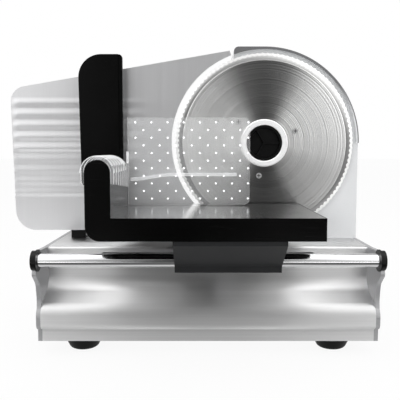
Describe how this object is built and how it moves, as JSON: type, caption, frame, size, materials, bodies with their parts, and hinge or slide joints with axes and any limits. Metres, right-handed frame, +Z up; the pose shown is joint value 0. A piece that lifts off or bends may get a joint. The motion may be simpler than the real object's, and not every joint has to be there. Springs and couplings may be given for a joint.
{
  "type": "deli meat slicer",
  "caption": "Electric slicer: toothed disc blade on a silver housing, sliding black carriage with tray and clear pusher, adjustable ribbed guide plate, steel base on rubber feet.",
  "frame": {"origin": "middle of the bottom of the machine's box, on the surface it stands on", "axes": "+X to the right and along the carriage's travel, +Y away from the user and along the blade's axis, +Z up"},
  "size_m": [0.3758, 0.2498, 0.3038],
  "materials": {
    "brushed_steel": "brushed across",
    "plain_steel": "plain",
    "cast_aluminium": "satin",
    "chrome_rod": "polished",
    "screw_steel": "plated",
    "silver_housing": "satin silver",
    "rubber": "matt",
    "black_plastic": "fine grain",
    "white_nylon": "plain",
    "bronze": "sintered",
    "motor_steel": "plated",
    "magnet_ferrite": "matt",
    "carbon": "carbon",
    "copper": "enamelled",
    "pinion_brass": "machined",
    "board_green": "laminate",
    "blade_steel": "turned",
    "hub_metal": "satin",
    "black_gloss": "glossy",
    "mirror_steel": "mirror",
    "grey_bracket": "satin",
    "clear_plastic": "clear",
    "satin_aluminium": "satin"
  },
  "bodies": {
    "base": {"base_shell": "brushed_steel", "base_pan": "plain_steel", "left_end_plate": "cast_aluminium", "right_end_plate": "cast_aluminium", "rod_caps": "black_plastic", "slide_rod": "chrome_rod", "guide_rail": "chrome_rod", "foot_screws": "screw_steel", "end_screws": "screw_steel", "deck_screws": "screw_steel", "cover_screws": "screw_steel", "drive_screws": "screw_steel", "tower_front": "silver_housing", "tower_rear": "silver_housing", "drive_plate": "plain_steel", "blade_spindle": "plain_steel", "idler_pin": "plain_steel", "motor_can": "motor_steel", "motor_end_cap": "black_plastic", "motor_magnets": "magnet_ferrite", "motor_brushes": "carbon", "motor_bushes": "bronze", "control_board": "board_green", "cord_gland": "rubber", "inner_leads": "rubber", "switch_body": "black_plastic", "guide_support": "silver_housing", "front_left_foot": "rubber", "rear_left_foot": "rubber", "front_right_foot": "rubber", "rear_right_foot": "rubber"},
    "blade": {"blade_disc": "blade_steel", "hub_ring": "hub_metal", "blade_screws": "screw_steel", "blade_gear": "black_plastic", "blade_bush": "bronze"},
    "lock": {"blade_lock": "black_plastic"},
    "idler": {"idler_gear": "white_nylon"},
    "rotor": {"motor_shaft": "plain_steel", "motor_pinion": "pinion_brass", "armature_core": "motor_steel", "armature_windings": "copper", "commutator": "copper"},
    "carriage": {"carriage_frame": "black_gloss", "hand_shield": "black_gloss", "tray_plate": "mirror_steel", "slider_bracket": "grey_bracket", "rod_bushes": "bronze", "guide_tongue": "plain_steel", "carriage_screws": "screw_steel"},
    "pusher": {"food_pusher": "clear_plastic"},
    "guide": {"guide_plate": "satin_aluminium", "guide_bracket": "cast_aluminium", "guide_foot": "black_plastic", "guide_runners": "plain_steel", "guide_screws": "screw_steel", "cam_pin": "plain_steel"},
    "thickness": {"thickness_cam": "white_nylon", "thickness_knob": "black_plastic"},
    "rocker": {"switch_rocker": "black_plastic"}
  },
  "joints": [
    {"name": "blade_spin", "type": "hinge", "parent": "base", "child": "blade", "pos_m": [0.08259, 0.0144, 0.2028], "axis": [0, 1, 0], "continuous": true},
    {"name": "lock_turn", "type": "hinge", "parent": "blade", "child": "lock", "pos_m": [0.08259, 0.0144, 0.2028], "axis": [0, -1, 0], "range_deg": [0, 75]},
    {"name": "idler_spin", "type": "hinge", "parent": "base", "child": "idler", "pos_m": [0.12185, 0.0144, 0.16986], "axis": [0, 1, 0], "continuous": true},
    {"name": "rotor_spin", "type": "hinge", "parent": "base", "child": "rotor", "pos_m": [0.1301, 0.0144, 0.12308], "axis": [0, 1, 0], "continuous": true},
    {"name": "carriage_slide", "type": "slide", "parent": "base", "child": "carriage", "axis": [1, 0, 0], "range_m": [-0.1134, 0.078]},
    {"name": "pusher_slide", "type": "slide", "parent": "carriage", "child": "pusher", "axis": [0, 1, 0], "range_m": [-0.062, 0.012]},
    {"name": "guide_slide", "type": "slide", "parent": "base", "child": "guide", "axis": [0, 1, 0], "range_m": [0, 0.015]},
    {"name": "thickness_turn", "type": "hinge", "parent": "base", "child": "thickness", "pos_m": [0.02179, 0.0764, 0.132], "axis": [1, 0, 0], "range_deg": [0, 300]},
    {"name": "switch_rock", "type": "hinge", "parent": "base", "child": "rocker", "pos_m": [0.18059, 0.0724, 0.1628], "axis": [0, -1, 0], "range_deg": [0, 12]}
  ],
  "couplings": [
    {"joint": "idler_spin", "follows": "blade_spin", "ratio": -4.125},
    {"joint": "rotor_spin", "follows": "blade_spin", "ratio": 15.469},
    {"joint": "thickness_turn", "follows": "guide_slide", "rad_per_m": 349.07}
  ]
}
